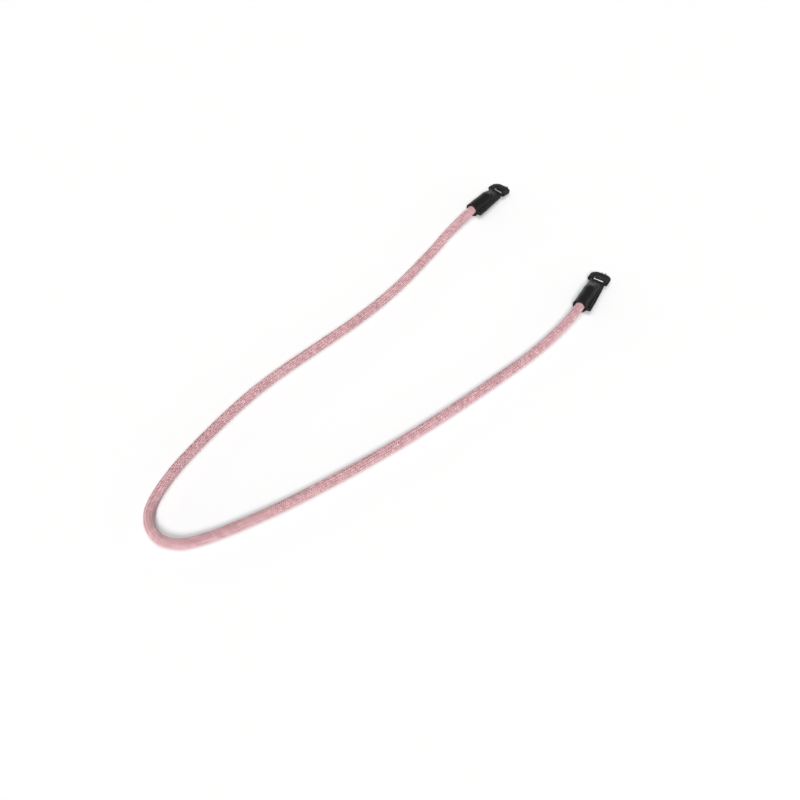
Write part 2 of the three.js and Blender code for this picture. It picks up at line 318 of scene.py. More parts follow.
def braid_look(sizes):
    """Pink polyester yarn: each float a bundle of fine filaments, with painted shade at its sides and
    ends where it dips under, and a painted highlight on its crown.
    """
    fuzz = {"Sheen Weight": 0.22, "Sheen Roughness": 0.45, "Sheen Tint": (1.0, 0.82, 0.82, 1.0)}
    look = Look("pink_braid", {"IOR": 1.45, **fuzz})
    along, across = look.map_axes("Strand")
    row, column = along.whole(), across.whole()
    end = abs(along.fraction() * 2 - 1)
    side = abs(across.fraction() * 2 - 1)
    strand = look.chance(row * 3.1 + column * 17.7)
    place = look.places()
    wander = look.noise(place, scale=900, roughness=0.6)
    filaments = (across.fraction() * 42 + wander * 3 + strand * 6).sine() * 0.5 + 0.5
    # Painted light: the crown mask is 1 on each float's middle and 0 at its sides and ends; in the
    # colour it paints a highlight on the crown and shade towards the gaps
    lit_crown = (1 - side.ramp(0.25, 1.0)) * (1 - end.ramp(0.4, 0.95))
    faded = look.noise(place, scale=45, detail=3, roughness=0.6)
    tone = lit_crown * 0.5 + filaments * 0.13 + strand * 0.24 + faded * 0.13
    # Painted shade where the tone is low (deep yarn), painted highlight where it is high (pale yarn)
    shaded_yarn = look.mix(tone.ramp(0.14, 0.6), colour(sizes.deep_pink), colour(sizes.pink))
    yarn = look.mix(tone.ramp(0.52, 0.95), shaded_yarn, colour(sizes.pale_pink))
    look.shade(Base_Color=yarn, Roughness=0.7 - lit_crown * 0.16 + filaments * 0.08 + strand * 0.06)
    look.shade(Normal=look.bump(filaments + wander * 0.5, strength=0.7, distance=0.00008))
    return look.material


def core_look(sizes):
    """The strands under the braid, seen only as dark gaps; their dark colour is painted shade."""
    look = Look("braid_gaps", {"IOR": 1.4})
    depth = look.noise(look.places(), scale=1400)
    # Painted shade: the core's colour is the deep yarn and darker, varying at random, standing in for
    # the shade in the gaps
    darkest_shade = [part * 0.55 for part in sizes.deep_pink]
    look.shade(Base_Color=look.mix(depth, colour(darkest_shade), colour(sizes.deep_pink)))
    look.shade(Roughness=0.8 + depth * 0.15)
    look.shade(Normal=look.bump(depth, strength=0.4, distance=0.0001))
    return look.material


def leather_look():
    """Black smooth-grain leather: fine pebbled cells, soft creases and worn, glossier high spots."""
    gloss = {"IOR": 1.5, "Specular IOR Level": 0.3, "Coat Roughness": 0.24, "Coat IOR": 1.4}
    look = Look("smooth_leather", gloss)
    place = look.places()
    drift = look.noise(place, scale=260, detail=3, roughness=0.55)
    pebbles = look.cells(place, scale=3100, feature="SMOOTH_F1", jitter=0.9)
    valleys = look.cells(place, scale=2300, feature="DISTANCE_TO_EDGE").ramp(0.0, 0.3)
    creases = look.veins(place, 0.06, scale=150, detail=4, roughness=0.62, distortion=0.8)
    rubbed = look.noise(place, scale=90, detail=3, roughness=0.6).ramp(0.5, 0.75)
    tone = valleys * 0.5 + drift * 0.3 + rubbed * 0.2
    black = look.mix(tone, (0.0022, 0.0021, 0.0023, 1.0), (0.0078, 0.0074, 0.0078, 1.0))
    look.shade(Base_Color=black, Roughness=0.38 - rubbed * 0.1 + creases * 0.12 + drift * 0.06)
    look.shade(Coat_Weight=0.06 + rubbed * 0.16)
    height = valleys * 0.6 - pebbles * 0.3 - creases * 0.5 + drift * 0.5
    look.shade(Normal=look.bump(height, strength=0.42, distance=0.0001))
    return look.material


def cut_edge_look():
    """The leather's cut edges: dyed fibres, matt and a little greyer."""
    look = Look("leather_cut_edge", {"IOR": 1.45, "Specular IOR Level": 0.3})
    place = look.places()
    fibres = look.noise(place, scale=2600, detail=4, roughness=0.7)
    layers = look.noise(place, scale=700)
    look.shade(Base_Color=look.mix(fibres, (0.004, 0.0038, 0.004, 1.0), (0.018, 0.017, 0.017, 1.0)))
    look.shade(Roughness=0.62 + layers * 0.2)
    look.shade(Normal=look.bump(fibres + layers * 0.5, strength=0.5, distance=0.0001))
    return look.material


def thread_look():
    """Waxed black thread, twisted from three plies."""
    look = Look("waxed_thread", {"IOR": 1.5, "Sheen Weight": 0.2, "Sheen Roughness": 0.4})
    along, across = look.map_axes("Strand")
    plies = (along * 62 + across * 9).sine() * 0.5 + 0.5
    look.shade(Base_Color=look.mix(plies, (0.006, 0.006, 0.0065, 1.0), (0.03, 0.029, 0.031, 1.0)))
    look.shade(Roughness=0.4 + plies * 0.1, Normal=look.bump(plies, strength=0.6, distance=0.00008))
    return look.material


def steel_look():
    """Nickel-plated steel wire: bright, with drawn lines, small scuffs and a duller film."""
    look = Look("plated_steel", {"Metallic": 1.0, "IOR": 2.2})
    place = look.places()
    film = look.noise(place, scale=240, detail=3, roughness=0.6)
    scuffs = look.veins(place, 0.05, scale=1700, detail=3, roughness=0.7, distortion=2.0)
    look.shade(Base_Color=look.mix(film, (0.64, 0.64, 0.65, 1.0), (0.78, 0.775, 0.77, 1.0)))
    look.shade(Roughness=0.26 + film * 0.16 + scuffs * 0.12)
    look.shade(Normal=look.bump(film * 0.4 - scuffs * 0.4, strength=0.12, distance=0.00004))
    return look.material


def paper_look(sizes):
    """The pale floor, very slightly mottled."""
    look = Look("pale_paper", {"IOR": 1.3, "Specular IOR Level": 0.2})
    cloud = look.noise(look.places(), scale=3)
    darker = [part * 0.985 for part in sizes.paper]
    look.shade(Base_Color=look.mix(cloud, colour(darker), colour(sizes.paper)))
    look.shade(Roughness=0.9 + cloud * 0.05)
    return look.material


def leathers():
    """The leather and its cut edge, made once for the sleeves and the guards."""
    made = bpy.data.materials
    return made.get("smooth_leather") or leather_look(), made.get("leather_cut_edge") or cut_edge_look()


# Modelling by hand


def pick(*objects):
    """Selects these objects alone, the first of them active."""
    bpy.ops.object.select_all(action="DESELECT")
    for found in objects:
        found.select_set(True)
    bpy.context.view_layer.objects.active = objects[0]


def linked(name, data):
    """A new object in the scene."""
    made = bpy.data.objects.new(name, data)
    bpy.context.collection.objects.link(made)
    return made


def added(name):
    """The object that an operator has just added, under its own name."""
    made = bpy.context.object
    made.name = name
    made.data.name = name
    return made


def settle(made):
    """Applies the piece's place, turn and size to its mesh."""
    pick(made)
    bpy.ops.object.transform_apply(location=True, rotation=True, scale=True)


def modify(made, kind, **settings):
    """Adds a modifier and applies it."""
    pick(made)
    modifier = made.modifiers.new(kind.lower(), kind)
    for name, setting in settings.items():
        setattr(modifier, name, setting)
    bpy.ops.object.modifier_apply(modifier=modifier.name)


def join(name, *objects):
    pick(*objects)
    bpy.ops.object.join()
    return added(name)


def in_edit(made, choice, step, **settings):
    """Runs one edit mode step on a mesh, with all of it or none of it selected first."""
    pick(made)
    bpy.ops.object.mode_set(mode="EDIT")
    bpy.ops.mesh.select_all(action=choice)
    step(**settings)
    bpy.ops.object.mode_set(mode="OBJECT")


def face_outwards(made):
    in_edit(made, "SELECT", bpy.ops.mesh.normals_make_consistent, inside=False)


def corners_of(made):
    places = np.empty(len(made.data.vertices) * 3)
    made.data.vertices.foreach_get("co", places)
    return places.reshape(-1, 3)


def move_corners(made, places):
    made.data.vertices.foreach_set("co", np.ascontiguousarray(places, dtype=np.float32).ravel())
    made.data.update()


def round_edges(made, width):
    """Rounds the sharp edges that a cut leaves."""
    modify(made, "BEVEL", width=width, segments=2, limit_method="ANGLE", angle_limit=math.radians(50))


def add_grain(name, sides):
    """A ball of radius 1 with its poles along x, the start of a float or a stitch."""
    lying = (0, math.pi / 2, 0)
    bpy.ops.mesh.primitive_uv_sphere_add(segments=sides, ring_count=sides, radius=1.0, rotation=lying)
    made = added(name)
    settle(made)
    return made


def add_blank(name, rows, columns):
    """A flat sheet in rows and columns, with each corner's row and column."""
    bpy.ops.mesh.primitive_grid_add(x_subdivisions=rows, y_subdivisions=columns, size=1.0)
    made = added(name)
    row, column = np.rint((corners_of(made)[:, :2] + 0.5) * (rows, columns)).astype(int).T
    return made, row, column


def map_grain(made, layer, reach):
    """Maps the grain as seen from above, with the middle at a half and the ends this far from it."""
    places = corners_of(made)
    for corner in made.data.loops:
        x, y, _ = places[corner.vertex_index]
        layer.data[corner.index].uv = (0.5 + reach * x, 0.5 + reach * y)


def cut_away(made, test):
    """Deletes the faces whose middle passes the test."""
    in_edit(made, "DESELECT", bpy.ops.mesh.select_mode, type="FACE")
    for face in made.data.polygons:
        face.select = bool(test(face.center))
    bpy.ops.object.mode_set(mode="EDIT")
    bpy.ops.mesh.delete(type="FACE")
    bpy.ops.object.mode_set(mode="OBJECT")


def coat(made, *looks):
    for look in looks:
        made.data.materials.append(look)


def finish_piece(made, replaced):
    """Hides the CAD node that the piece stands for and parents the piece to the body that carries it.
    """
    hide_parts(replaced)
    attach(made, BODY)
    return made


def smooth(made, degrees):
    pick(made)
    bpy.ops.object.shade_smooth_by_angle(angle=math.radians(degrees))


# Soft and even steps


def between(low, high, share):
    """The number that lies this share of the way from low to high."""
    return low + (high - low) * share


def eased(value, start, end):
    """0 before start and 1 after end, smooth between them."""
    share = np.clip((value - start) / (end - start), 0.0, 1.0)
    return share * share * (3 - 2 * share)


def lengths_along(points):
    """The length along a line of points up to each of them."""
    return np.r_[0.0, np.cumsum(np.linalg.norm(np.diff(points, axis=0), axis=1))]


def even_steps(points, count):
    """The same line of points in this many even steps."""
    lengths = lengths_along(points)
    even = np.linspace(0.0, lengths[-1], count + 1)
    return np.column_stack([np.interp(even, lengths, places) for places in points.T])


# Where the fittings lie


def axis_point(side, distance, height):
    """A point on a fitting's axis, a distance outwards from its mouth, in metres."""
    fitting = FITTINGS[side]
    heading = math.radians(fitting["heading"])
    x = fitting["x"] * MM + distance * math.cos(heading)
    y = fitting["y"] * MM + distance * math.sin(heading)
    return Vector((x, y, height))


def fitting_place(side, sleeve):
    """The fitting's frame: at the middle of its mouth, with x outwards along its axis."""
    turn = Matrix.Rotation(math.radians(FITTINGS[side]["heading"]), 4, "Z")
    return Matrix.Translation(axis_point(side, 0.0, sleeve.radius)) @ turn


def tab_pitch(ring):
    """How far the ring slopes down from its bar to its free corner, which rests on the surface."""
    return math.asin((ring.bar_height - ring.wire_radius) / ring.reach)


def tab_place(side, ring, sleeve):
    """The ring's frame, which the guard shares: at the middle of the bar, in the ring's plane."""
    bar = Matrix.Translation((ring.bar_from_mouth, 0.0, ring.bar_height - sleeve.radius))
    return fitting_place(side, sleeve) @ (bar @ Matrix.Rotation(tab_pitch(ring), 4, "Y"))


def sheet_height(guard, ring):
    """The middle of the guard's leather over the ring's plane."""
    return ring.wire_radius + ring.gap + guard.thickness / 2


def neck_drop(sleeve, guard, ring):
    """How far the sleeve's neck comes down from its axis to lie level with the guard's tail."""
    pitch = tab_pitch(ring)
    tail = ring.bar_height + sheet_height(guard, ring) * math.cos(pitch) - guard.root * math.sin(pitch)
    return sleeve.radius - tail


# Rope


# Points worked out between two points of the route, and the spacing of those that are kept
CURVE_STEPS = 60
CORE_SPACING = 4 * MM
BRAID_SPACING = 0.4 * MM

# How far a float's ends dip under, and its lean in degrees
FLOAT_DIP = 0.22 * MM
FLOAT_LEAN = 45

# How unevenly the floats are pulled, and the most of any as a multiple of these
UNEVEN_LENGTH = 0.04
UNEVEN_SLANT = 0.045
UNEVEN_PLACE = 0.05 * MM
UNEVEN_HEIGHT = 0.03 * MM
UNEVEN_LIMIT = 2

# The braid's slow turns about the rope: how far in radians, radians of the wave in a metre, and start
BRAID_TURNS = ((0.32, 18.3, 0.4), (0.03, 75.0, 2.0))

# The lengthwise crease: its depth, then in radians half its width, its wander and its waves in a metre
CREASE_DEPTH = 0.44 * MM
CREASE_HALF_WIDTH = 0.24
CREASE_WANDER = 0.3
CREASE_WAVES = 31

# How far a float's map reaches from its middle, and the border round its square of the bake map
STRAND_REACH = 0.48
MAP_MARGIN = 0.06


def route_points(rope, sleeve):
    ends = [rope.in_sleeve, rope.in_sleeve / 2, 0.0]
    left = [axis_point("left", end, sleeve.radius) for end in ends]
    right = [axis_point("right", end, sleeve.radius) for end in reversed(ends)]
    return [*left, *(Vector(point) * MM for point in ROUTE), *right]


def curve_stretch(before, start, end, after, share):
    """A point on the centripetal curve from start to end."""
    came, here, went = ((b - a).length ** 0.5 for a, b in ((before, start), (start, end), (end, after)))
    lean_in = ((start - before) / came - (end - before) / (came + here) + (end - start) / here) * here
    lean_out = ((end - start) / here - (after - start) / (here + went) + (after - end) / went) * here
    cubic = 2 * start - 2 * end + lean_in + lean_out
    square = 3 * end - 3 * start - 2 * lean_in - lean_out
    return start + lean_in * share + square * share**2 + cubic * share**3


def smooth_route(points, spacing):
    """The curve through the points, in even steps of about the spacing, and its length."""
    padded = [2 * points[0] - points[1], *points, 2 * points[-1] - points[-2]]
    fine = []
    for i in range(len(points) - 1):
        fine += [curve_stretch(*padded[i : i + 4], step / CURVE_STEPS) for step in range(CURVE_STEPS)]
    fine = np.array([*fine, points[-1]])
    length = lengths_along(fine)[-1]
    return even_steps(fine, round(length / spacing)), length


def draw_line(name, points):
    """A curve object with straight steps through the points."""
    line = bpy.data.curves.new(name, "CURVE")
    line.dimensions = "3D"
    line.twist_mode = "Z_UP"
    spline = line.splines.new("POLY")
    spline.points.add(len(points) - 1)
    weighted = np.column_stack([points, np.ones(len(points))])
    spline.points.foreach_set("co", weighted.astype(np.float32).ravel())
    return linked(name, line)


def model_core(rope, points):
    """The round core, a tube with closed ends."""
    core = draw_line("rope_core", points)
    core.data.bevel_depth = rope.core_radius
    core.data.bevel_resolution = 3
    core.data.use_fill_caps = True
    pick(core)
    bpy.ops.object.convert(target="MESH")
    made = added("rope_core")
    in_edit(made, "SELECT", bpy.ops.mesh.remove_doubles, threshold=1e-6)
    face_outwards(made)
    smooth(made, 50)
    return made


def model_float(name, rope, lean):
    """One float of a strand on top of the straight rope: a plump grain whose ends dip under."""
    made = add_grain(name, 5)
    made.data.uv_layers[0].name = "OFBake"
    map_grain(made, made.data.uv_layers.new(name="Strand"), STRAND_REACH)
    places = corners_of(made)
    radius = rope.diameter / 2
    half = np.array([rope.float_length, rope.float_width, rope.float_thickness]) / 2
    grain = places * half
    turn = math.radians(lean)
    x = grain[:, 0] * math.cos(turn) - grain[:, 1] * math.sin(turn)
    y = grain[:, 0] * math.sin(turn) + grain[:, 1] * math.cos(turn)
    dip = FLOAT_DIP * np.abs(places[:, 0]) ** 3
    height = radius - half[2] + grain[:, 2] - dip
    around = y / radius
    move_corners(made, np.column_stack([x, height * np.sin(around), height * np.cos(around)]))
    return made


def lay_strands(name, rope, lean, column, line, length):
    """All floats that lean one way, arrayed round and along the rope and bent along its route."""
    step = 2 * math.pi / rope.columns
    repeat = math.pi * rope.diameter / rope.columns
    start = rope.in_sleeve - rope.braid_in_sleeve
    rows = int((length - 2 * start) / repeat)
    made = model_float(name, rope, lean)
    made.rotation_euler = (step * column, 0, 0)
    made.location = (start + repeat * (0.25 + column / 2), 0, 0)
    settle(made)
    turner = linked("turner", None)
    turner.rotation_euler = (2 * step, 0, 0)
    bpy.context.view_layer.update()
    around = {"use_relative_offset": False, "use_object_offset": True, "offset_object": turner}
    modify(made, "ARRAY", count=rope.columns // 2, offset_v=1.0, **around)
    along = {"use_relative_offset": False, "use_constant_offset": True}
    corners = len(made.data.vertices) // (rope.columns // 2)
    modify(made, "ARRAY", count=rows, offset_u=1.0, constant_offset_displace=(repeat, 0, 0), **along)
    loosen(made, corners, column)
    modify(made, "CURVE", object=line, deform_axis="POS_X")
    bpy.data.objects.remove(turner)
    pack_map(made, rope.columns // 2, rows)
    pick(made)
    bpy.ops.object.shade_smooth()
    return made


def half_turn(angle):
    """The same angle, from minus half a turn to half a turn."""
    return (angle + math.pi) % (2 * math.pi) - math.pi


def loosen(made, corners, seed):
    """Makes the floats uneven, as braided by a machine that pulls each strand a little differently,
    turns the braid slowly about the rope and presses a crease along it."""
    places = corners_of(made).reshape(-1, corners, 3)
    middles = places.mean(axis=1, keepdims=True)
    x = places[..., 0] - middles[..., 0]
    radius = np.hypot(places[..., 1], places[..., 2])
    turned = np.arctan2(middles[..., 1], middles[..., 2])
    angle = np.arctan2(places[..., 1], places[..., 2]) - turned
    chances = np.random.default_rng(seed).normal(0.0, 1.0, (4, len(places), 1))
    out, shift, slant, plump = np.clip(chances, -UNEVEN_LIMIT, UNEVEN_LIMIT)
    y = half_turn(angle) * radius
    long = 1 + UNEVEN_LENGTH * plump
    lean = UNEVEN_SLANT * slant
    along = middles[..., 0] + x * long - y * lean + UNEVEN_PLACE * shift
    drift = sum(far * np.sin(waves * along + start) for far, waves, start in BRAID_TURNS)
    angle = turned + (y + x * lean) / radius + drift
    crease = between(-CREASE_WANDER, CREASE_WANDER, along / along.max())
    off_crease = half_turn(turned + drift - crease) / CREASE_HALF_WIDTH
    groove = CREASE_DEPTH * np.exp(-(off_crease**2)) * (0.85 + 0.15 * np.sin(CREASE_WAVES * along))
    radius = radius + UNEVEN_HEIGHT * (out - 1) - groove
    uneven = np.stack([along, radius * np.sin(angle), radius * np.cos(angle)], axis=-1)
    move_corners(made, uneven.reshape(-1, 3))


def pack_map(made, across, along):
    """Gives each float its own square of the bake map."""
    squares = math.ceil(math.sqrt(across * along))
    strand, packed = np.empty((2, len(made.data.loops) * 2), dtype=np.float32)
    made.data.uv_layers["Strand"].data.foreach_get("uv", strand)
    layer = made.data.uv_layers["OFBake"].data
    layer.foreach_get("uv", packed)
    whole = np.floor(strand.reshape(-1, 2))
    number = whole[:, 0] * across + whole[:, 1]
    local = MAP_MARGIN + (1 - 2 * MAP_MARGIN) * (packed.reshape(-1, 2) - whole)
    square = np.column_stack([number % squares, number // squares])
    layer.foreach_set("uv", ((square + local) / squares).astype(np.float32).ravel())


class STRAP_OT_rope(bpy.types.Operator):
    """Model the braided rope along its route"""

    bl_idname = "strap.rope"
    bl_label = "Rope"

    def execute(self, context):
        rope, sleeve = context.scene.strap_rope, context.scene.strap_sleeve
        route = route_points(rope, sleeve)
        path, length = smooth_route(route, CORE_SPACING)
        line = draw_line("rope_line", smooth_route(route, BRAID_SPACING)[0])
        braid = braid_look(rope)
        core = model_core(rope, path)
        coat(core, core_look(rope))
        finish_piece(core, "rope")
        laid = (("braid_right_laid", FLOAT_LEAN, 0), ("braid_left_laid", -FLOAT_LEAN, 1))
        for name, lean, column in laid:
            made = lay_strands(name, rope, lean, column, line, length)
            coat(made, braid)
            finish_piece(made, "rope")
        bpy.data.objects.remove(line)
        return {"FINISHED"}


# Sleeves


# The rounding of the flange's corners, and the power by which it narrows
FLANGE_CORNER = 1.6 * MM
FLANGE_POWER = 1.6

# The section's power at the round mouth and at the flat neck
SECTION_POWERS = (2.0, 3.0)

# Points of the section over the fold and along the flange, and how often it is smoothed
FOLD_POINTS = 90
FLANGE_POINTS = 29
SMOOTHINGS = 26

# The blank's grid, how its rows crowd at the ends, and the gap between the flange's layers
BLANK_ROWS = 56
BLANK_COLUMNS = 76
END_CROWDING = 0.035
LAYER_GAP = 0.04 * MM

# How deep the leather is drawn in at the stitches, creased at the neck and hollowed elsewhere
PUCKER_DEPTH = 0.28 * MM
PUCKER_HALF_WIDTH = 0.6 * MM
NECK_CREASE_DEPTH = 0.22 * MM
HOLLOW_DEPTH = 0.16 * MM

# How far before the narrowing the creases start, and how far before its end they are full and fade
CREASES_START = 4 * MM
CREASES_FULL = 6 * MM
CREASES_FADE = 7 * MM

# How near the ends the stitch line stops following the flange, and how much of it has no stitches
STITCH_LINE_END = 4 * MM
UNSTITCHED = 4.5 * MM

# A stitch: half its length as a share of the pitch, its other halves, dip, depth and slant in radians
STITCH_LENGTH = 0.43
STITCH_HALVES = (0.34 * MM, 0.36 * MM)
STITCH_DIP = 0.5 * MM
STITCH_SUNK = 0.1 * MM
STITCH_SLANT = 0.09


def flange_reach(sleeve, at):
    """How far the flange stands from the axis, with its two corners rounded."""
    reach = between(sleeve.flange_mouth, sleeve.flange_neck, (at / sleeve.length) ** FLANGE_POWER)
    near = np.minimum(at, sleeve.length - at)
    inside = np.clip(1 - near / FLANGE_CORNER, 0.0, 1.0)
    return reach - FLANGE_CORNER * (1 - np.sqrt(1 - inside**2))


def sleeve_outline(sleeve, at, drop):
    """The outer surface's section as across and up: from the flange's top edge, over the fold, to its
    bottom edge. The flange is on the -y side."""
    narrowing = eased(at, sleeve.narrow_start, sleeve.narrow_end)
    fold = between(sleeve.radius, sleeve.neck_half_width, narrowing)
    half = between(sleeve.radius, sleeve.neck_half_height, narrowing)
    power = 2 / between(*SECTION_POWERS, narrowing)
    start = math.asin((sleeve.flange_half / half) ** (1 / power))
    angle = np.linspace(start, math.pi, FOLD_POINTS)
    across = -fold * np.sign(np.cos(angle)) * np.abs(np.cos(angle)) ** power
    up = half * np.sin(angle) ** power
    edge = np.linspace(-flange_reach(sleeve, at), across[0], FLANGE_POINTS + 1)[:-1]
    top = np.column_stack([np.r_[edge, across], np.r_[np.full(FLANGE_POINTS, sleeve.flange_half), up]])
    soft = np.vstack([top, top[-2::-1] * (1, -1)])
    for _ in range(SMOOTHINGS):
        soft[1:-1] = 0.25 * soft[:-2] + 0.5 * soft[1:-1] + 0.25 * soft[2:]
    soft[:, 1] -= drop * narrowing
    return soft


def stitch_line(sleeve, at):
    """Where the row of stitches runs across the sleeve."""
    inside = np.clip(at, STITCH_LINE_END, sleeve.length - STITCH_LINE_END)
    return -(flange_reach(sleeve, inside) - sleeve.stitch_inset)


def stitch_places(sleeve):
    """The middle of each stitch along the sleeve."""
    count = int((sleeve.length - UNSTITCHED) / sleeve.stitch_pitch)
    spare = sleeve.length - count * sleeve.stitch_pitch
    return [spare / 2 + sleeve.stitch_pitch * (i + 0.5) for i in range(count)]


def sleeve_dents(sleeve, at, across, up):
    """How far the leather is drawn in at the stitches and creased where it narrows."""
    stitched = np.exp(-(((across - stitch_line(sleeve, at)) / PUCKER_HALF_WIDTH) ** 2))
    nearest = min(stitch_places(sleeve), key=lambda place: abs(place - at))
    puckers = 0.6 - 0.4 * math.cos(2 * math.pi * (at - nearest) / sleeve.stitch_pitch)
    angle = np.arctan2(up, across)
    growing = eased(at, sleeve.narrow_start - CREASES_START, sleeve.narrow_end - CREASES_FULL)
    fading = 1 - eased(at, sleeve.narrow_end - CREASES_FADE, sleeve.length)
    folds = np.sin(7 * angle + 900 * at) * np.sin(3 * angle + 1.1)
    creases = NECK_CREASE_DEPTH * growing * fading * folds
    hollows = HOLLOW_DEPTH * np.sin(2.0 * angle + 260 * at) * np.sin(190 * at + 0.4)
    return PUCKER_DEPTH * stitched * puckers + creases + hollows * (1 - stitched)


def model_sleeve(side, sleeve, guard, ring):
    """A flat leather blank folded round the rope, with its two edges laid together as a flange."""
    made, row, column = add_blank(f"{side}_leather_sleeve", BLANK_ROWS, BLANK_COLUMNS)
    drop = neck_drop(sleeve, guard, ring)
    share = np.linspace(0.0, 1.0, BLANK_ROWS + 1)
    stations = sleeve.length * (share - END_CROWDING * np.sin(2 * math.pi * share))
    folded = np.empty((len(row), 3))
    thin = np.empty(len(row))
    for number, at in enumerate(stations):
        across, up = even_steps(sleeve_outline(sleeve, at, drop), BLANK_COLUMNS).T
        out = np.column_stack([np.gradient(up), -np.gradient(across)])
        out /= -np.linalg.norm(out, axis=1)[:, None]
        dents = sleeve_dents(sleeve, at, across, up)
        here = row == number
        there = column[here]
        folded[here, 0] = at
        folded[here, 1] = (across - out[:, 0] * dents)[there]
        folded[here, 2] = (up - out[:, 1] * dents)[there]
        flat = eased(-across, sleeve.radius * 0.8, sleeve.radius * 1.05)
        thin[here] = between(sleeve.wall, sleeve.flange_half - LAYER_GAP, flat)[there]
    move_corners(made, folded)
    group = made.vertex_groups.new(name="thickness")
    for number, wall in enumerate(thin / sleeve.wall):
        group.add([number], float(wall), "REPLACE")
    return made


class STRAP_OT_sleeves(bpy.types.Operator):
    """Model the two folded and sewn leather sleeves"""

    bl_idname = "strap.sleeves"
    bl_label = "Leather sleeves"

    def execute(self, context):
        scene = context.scene
        sleeve = scene.strap_sleeve
        thread = thread_look()
        for side in FITTINGS:
            made = model_sleeve(side, sleeve, scene.strap_guard, scene.strap_ring)
            coat(made, *leathers(), thread)
            walls = {"thickness": sleeve.wall, "offset": -1.0, "vertex_group": "thickness"}
            modify(made, "SOLIDIFY", material_offset_rim=1, **walls)
            face_outwards(made)
            round_edges(made, width=0.3 * MM)
            smooth(made, 60)
            stitches = sew(sleeve, scene.strap_guard, scene.strap_ring, thread)
            made = join(f"{side}_leather_sleeve", made, *stitches)
            made.matrix_world = fitting_place(side, sleeve)
            settle(made)
            finish_piece(made, f"{side}_sleeve")
        return {"FINISHED"}


def model_stitch(sleeve, thread):
    """One stitch: a short plump thread whose ends go down into their holes."""
    made = add_grain("stitch", 8)
    made.data.uv_layers[0].name = "Strand"
    map_grain(made, made.data.uv_layers[0], 0.5)
    places = corners_of(made)
    grain = places * (STITCH_LENGTH * sleeve.stitch_pitch, *STITCH_HALVES)
    grain[:, 2] -= STITCH_DIP * np.abs(places[:, 0]) ** 4
    move_corners(made, grain)
    coat(made, thread)
    pick(made)
    bpy.ops.object.shade_smooth()
    return made


def sew(sleeve, guard, ring, thread):
    """The row of stitches on both sides of the flange."""
    first = model_stitch(sleeve, thread)
    drop = neck_drop(sleeve, guard, ring)
    sewn = []
    for at in stitch_places(sleeve):
        across = float(stitch_line(sleeve, at))
        ahead = float(stitch_line(sleeve, at + MM))
        middle = -drop * float(eased(at, sleeve.narrow_start, sleeve.narrow_end))
        heading = math.atan2(ahead - across, MM)
        for up in (1, -1):
            made = linked("stitch", first.data.copy())
            height = middle + up * (sleeve.flange_half - STITCH_SUNK)
            flip = Matrix.Rotation(0.0 if up > 0 else math.pi, 4, "X")
            slant = Matrix.Rotation(heading + STITCH_SLANT * up, 4, "Z")
            made.matrix_world = Matrix.Translation((at, across, height)) @ slant @ flip
            settle(made)
            sewn.append(made)
    bpy.data.objects.remove(first)
    return sewn


# Ring guards


# How far the tab's sides droop, and where along it they start to
TAB_DROOP = 0.8 * MM
DROOP_START = 2.5 * MM

# How far the tab sags where its tail pulls, and how far along and across that reaches
PULL_SAG = 0.9 * MM
PULL_REACH = 2.2 * MM
PULL_SIDES = (4 * MM, 7.5 * MM)

# Where the blank is divided, across from its middle outwards and along behind the slits
INNER_LINES = (0.0, 1.2 * MM, 2.4 * MM, 3.6 * MM)
OUTER_LINES = (6.4 * MM, 7.4 * MM, 8.4 * MM, 9.3 * MM)
LINE_BEHIND = 4.5 * MM

# A distance too small to matter
HAIR = 0.01 * MM


def guard_half_width(guard, x):
    """Half the tab's width at a place along it, with its four corners rounded."""
    tip = np.clip((x - (guard.tip - guard.tip_round)) / guard.tip_round, 0.0, 1.0)
    root = np.clip(((guard.root + guard.root_round) - x) / guard.root_round, 0.0, 1.0)
    cut = guard.tip_round * (1 - np.sqrt(1 - tip**2)) + guard.root_round * (1 - np.sqrt(1 - root**2))
    return guard.half_width - cut


def guard_height(guard, ring, x, y):
    """The height of the leather's middle over the ring's plane: the bridge dips under the bar."""
    high = sheet_height(guard, ring)
    bridge = np.abs(y) < guard.slit_in + HAIR
    dip = 2 * high * (1 - eased(np.abs(x), guard.bridge_flat, guard.slit_half))
    margin = (np.abs(y) / guard.half_width) ** 4
    ends = eased(x, DROOP_START, guard.tip) + eased(-x, DROOP_START, -guard.root)
    droop = TAB_DROOP * margin * ends
    pulled = 1 - eased(np.abs(x + guard.slit_half), 0.0, PULL_REACH)
    sag = PULL_SAG * pulled * (1 - eased(np.abs(y), *PULL_SIDES))
    return high - sag - np.where(bridge, dip, droop * (x > guard.root))


